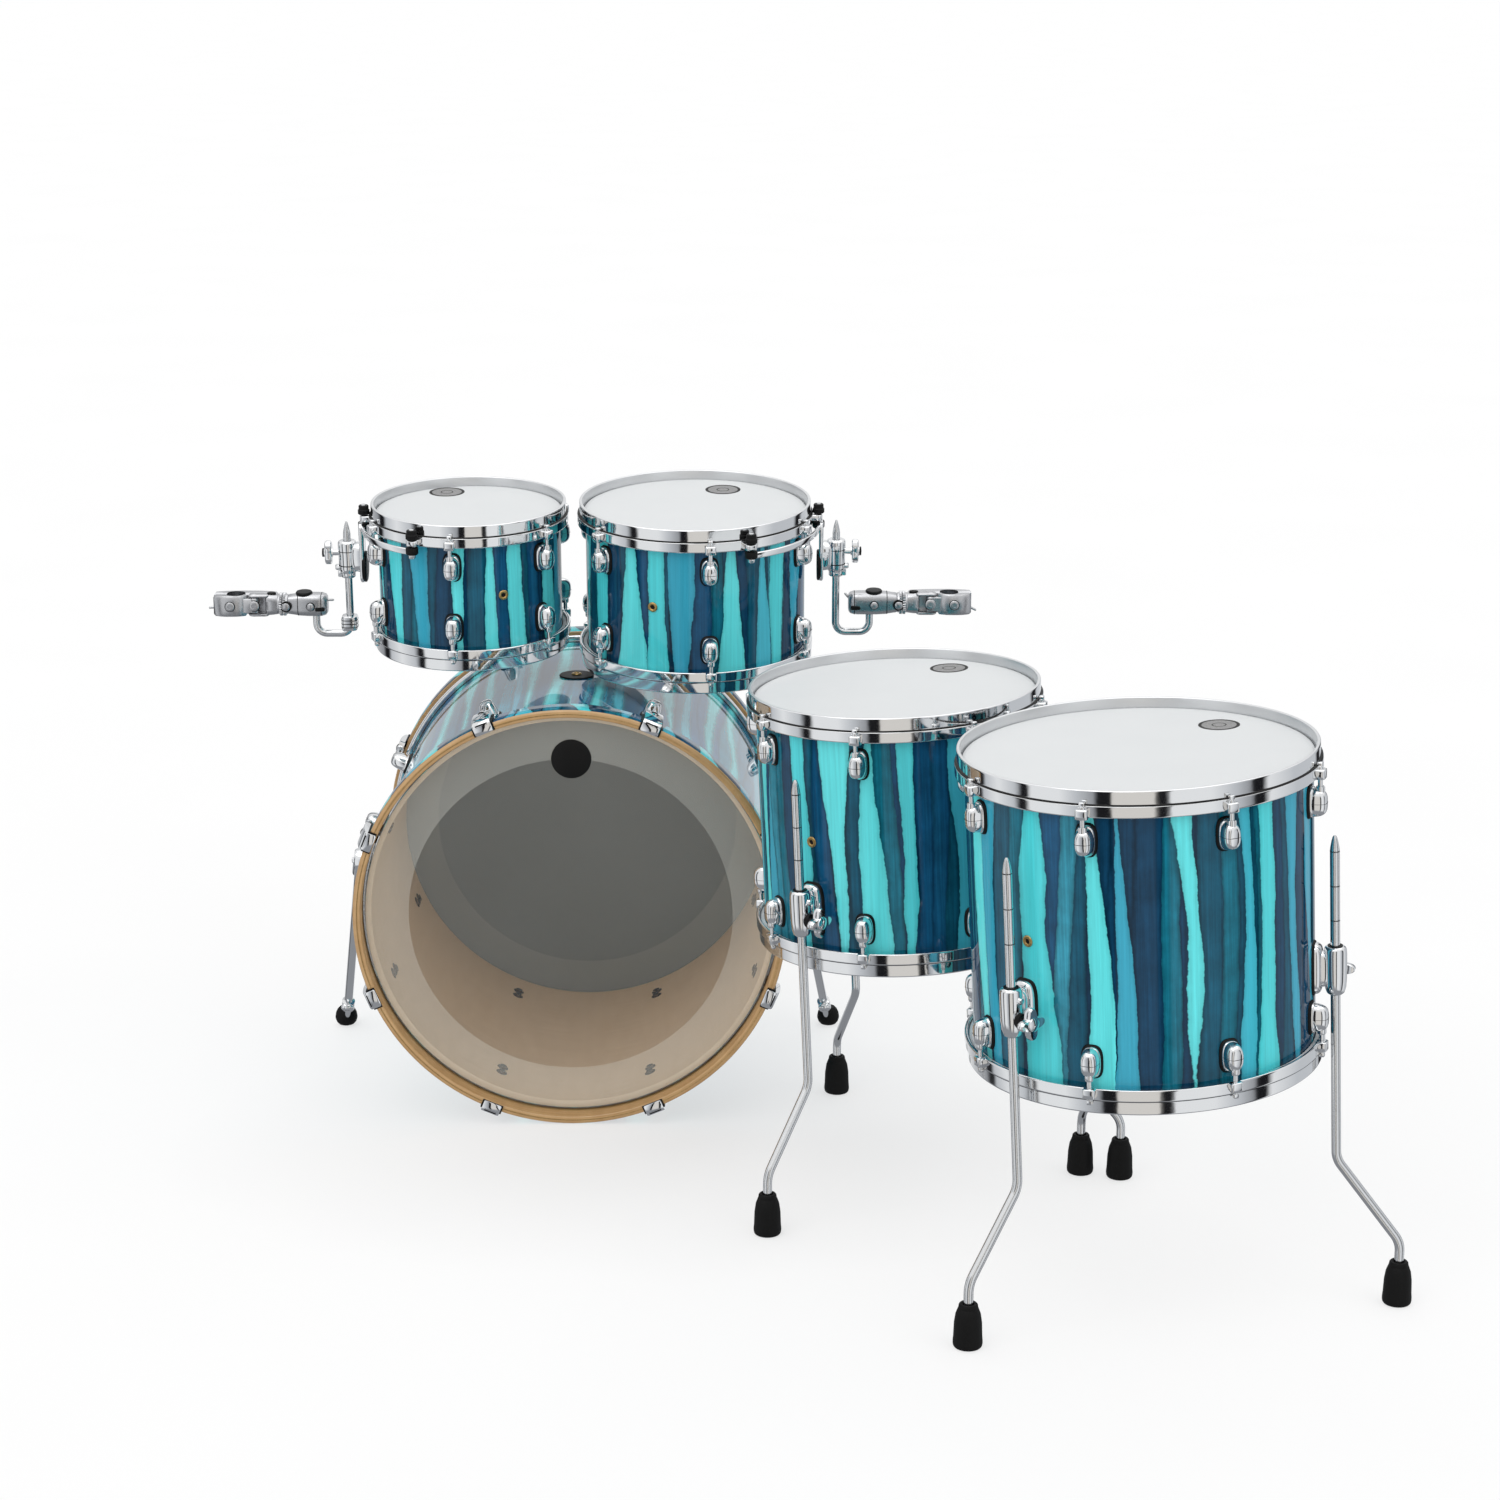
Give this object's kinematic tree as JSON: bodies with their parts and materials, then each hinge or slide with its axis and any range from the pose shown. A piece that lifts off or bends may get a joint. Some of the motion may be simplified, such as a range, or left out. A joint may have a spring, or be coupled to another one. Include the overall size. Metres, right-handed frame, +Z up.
{
  "type": "drum shell pack",
  "caption": "Drum shell pack: bass drum with folding spurs, rack toms on ratchet stand clamps and floor toms on sliding legs, blue lacquer with chrome fittings.",
  "frame": {"origin": "centre of the pack's bounding box, on the floor", "axes": "+X to the picture's right, along the pack's longest side; +Y away from the audience, to the drummer; +Z up"},
  "size_m": [1.5506, 1.2096, 0.8367],
  "materials": {
    "blue_lacquer": "gloss lacquer with upright brush marks",
    "maple": "clear gloss lacquer",
    "chrome": "polished",
    "coated_film": "fine matte coating",
    "smoked_film": "smoky clear film, satin",
    "rubber": "matt"
  },
  "bodies": {
    "pack_base": {"bass_front_head": "smoked_film", "bass_front_hoop": "maple", "bass_rear_head": "smoked_film", "bass_rear_hoop": "maple", "bass_shell": "blue_lacquer", "bass_spur_bracket_left": "chrome", "bass_spur_bracket_right": "chrome", "floor_14_batter_head": "coated_film", "floor_14_bottom_hoop": "chrome", "floor_14_leg_bracket_1": "chrome", "floor_14_leg_bracket_2": "chrome", "floor_14_leg_bracket_3": "chrome", "floor_14_resonant_head": "coated_film", "floor_14_shell": "blue_lacquer", "floor_14_top_hoop": "chrome", "floor_16_batter_head": "coated_film", "floor_16_bottom_hoop": "chrome", "floor_16_leg_bracket_1": "chrome", "floor_16_leg_bracket_2": "chrome", "floor_16_leg_bracket_3": "chrome", "floor_16_resonant_head": "coated_film", "floor_16_shell": "blue_lacquer", "floor_16_top_hoop": "chrome", "tom_10_stand_clamp": "chrome", "tom_12_stand_clamp": "chrome"},
    "spur_left": {"bass_spur_leg_left": "chrome"},
    "spur_right": {"bass_spur_leg_right": "chrome"},
    "floor_14_leg_1_body": {"floor_14_leg_1": "chrome", "floor_14_foot_1": "rubber"},
    "floor_14_leg_2_body": {"floor_14_leg_2": "chrome", "floor_14_foot_2": "rubber"},
    "floor_14_leg_3_body": {"floor_14_leg_3": "chrome", "floor_14_foot_3": "rubber"},
    "floor_16_leg_1_body": {"floor_16_leg_1": "chrome", "floor_16_foot_1": "rubber"},
    "floor_16_leg_2_body": {"floor_16_leg_2": "chrome", "floor_16_foot_2": "rubber"},
    "floor_16_leg_3_body": {"floor_16_leg_3": "chrome", "floor_16_foot_3": "rubber"},
    "tom_10_jaw_body": {"tom_10_clamp_jaw": "chrome"},
    "tom_10_holder_body": {"tom_10_rod_holder": "chrome"},
    "tom_10_rod_body": {"tom_10_rod": "chrome"},
    "tom_10_lock_body": {"tom_10_rod_lock": "chrome"},
    "tom_10_body": {"tom_10_shell": "blue_lacquer", "tom_10_top_hoop": "chrome", "tom_10_bottom_hoop": "chrome", "tom_10_batter_head": "coated_film", "tom_10_resonant_head": "coated_film", "tom_10_mount": "chrome"},
    "tom_12_jaw_body": {"tom_12_clamp_jaw": "chrome"},
    "tom_12_holder_body": {"tom_12_rod_holder": "chrome"},
    "tom_12_rod_body": {"tom_12_rod": "chrome"},
    "tom_12_lock_body": {"tom_12_rod_lock": "chrome"},
    "tom_12_body": {"tom_12_shell": "blue_lacquer", "tom_12_top_hoop": "chrome", "tom_12_bottom_hoop": "chrome", "tom_12_batter_head": "coated_film", "tom_12_resonant_head": "coated_film", "tom_12_mount": "chrome"}
  },
  "joints": [
    {"name": "spur_left_fold", "type": "hinge", "parent": "pack_base", "child": "spur_left", "pos_m": [-0.56675, 0.29408, 0.31789], "axis": [1, 0, 0], "range_deg": [0, 58]},
    {"name": "spur_right_fold", "type": "hinge", "parent": "pack_base", "child": "spur_right", "pos_m": [0.04715, 0.29408, 0.31789], "axis": [1, 0, 0], "range_deg": [0, 58]},
    {"name": "floor_14_leg_1_slide", "type": "slide", "parent": "pack_base", "child": "floor_14_leg_1_body", "axis": [-0.0454, 0, 0.999], "range_m": [0, 0.1]},
    {"name": "floor_14_leg_2_slide", "type": "slide", "parent": "pack_base", "child": "floor_14_leg_2_body", "axis": [-0.0454, 0, 0.999], "range_m": [0, 0.1]},
    {"name": "floor_14_leg_3_slide", "type": "slide", "parent": "pack_base", "child": "floor_14_leg_3_body", "axis": [-0.0454, 0, 0.999], "range_m": [0, 0.1]},
    {"name": "floor_16_leg_1_slide", "type": "slide", "parent": "pack_base", "child": "floor_16_leg_1_body", "axis": [-0.0541, 0, 0.9985], "range_m": [0, 0.1]},
    {"name": "floor_16_leg_2_slide", "type": "slide", "parent": "pack_base", "child": "floor_16_leg_2_body", "axis": [-0.0541, 0, 0.9985], "range_m": [0, 0.1]},
    {"name": "floor_16_leg_3_slide", "type": "slide", "parent": "pack_base", "child": "floor_16_leg_3_body", "axis": [-0.0541, 0, 0.9985], "range_m": [0, 0.015]},
    {"name": "tom_10_jaw_swing", "type": "hinge", "parent": "pack_base", "child": "tom_10_jaw_body", "pos_m": [-0.7113, 0.36035, 0.67145], "axis": [0, 0, 1], "range_deg": [0, 70]},
    {"name": "tom_10_tilt", "type": "hinge", "parent": "pack_base", "child": "tom_10_holder_body", "pos_m": [-0.6713, 0.36785, 0.67145], "axis": [1, 0, 0], "range_deg": [-15, 10]},
    {"name": "tom_10_rod_swivel", "type": "hinge", "parent": "tom_10_holder_body", "child": "tom_10_rod_body", "pos_m": [-0.6253, 0.36785, 0.67145], "axis": [0, -0.0785, 0.9969], "range_deg": [-12, 12]},
    {"name": "tom_10_height", "type": "slide", "parent": "tom_10_rod_body", "child": "tom_10_lock_body", "axis": [0, -0.0785, 0.9969], "range_m": [-0.02, 0.03]},
    {"name": "tom_10_swivel", "type": "hinge", "parent": "tom_10_lock_body", "child": "tom_10_body", "pos_m": [-0.5778, 0.35608, 0.82099], "axis": [0, -0.0785, 0.9969], "range_deg": [-25, 25]},
    {"name": "tom_12_jaw_swing", "type": "hinge", "parent": "pack_base", "child": "tom_12_jaw_body", "pos_m": [0.2376, 0.36039, 0.67354], "axis": [0, 0, -1], "range_deg": [0, 70]},
    {"name": "tom_12_tilt", "type": "hinge", "parent": "pack_base", "child": "tom_12_holder_body", "pos_m": [0.1976, 0.36789, 0.67354], "axis": [1, 0, 0], "range_deg": [-8, 2]},
    {"name": "tom_12_rod_swivel", "type": "hinge", "parent": "tom_12_holder_body", "child": "tom_12_rod_body", "pos_m": [0.1516, 0.36789, 0.67354], "axis": [0, -0.0854, 0.9963], "range_deg": [-12, 5]},
    {"name": "tom_12_height", "type": "slide", "parent": "tom_12_rod_body", "child": "tom_12_lock_body", "axis": [0, -0.0854, 0.9963], "range_m": [0, 0.03]},
    {"name": "tom_12_swivel", "type": "hinge", "parent": "tom_12_lock_body", "child": "tom_12_body", "pos_m": [0.1041, 0.35508, 0.82299], "axis": [0, -0.0854, 0.9963], "range_deg": [-15, 6]}
  ]
}
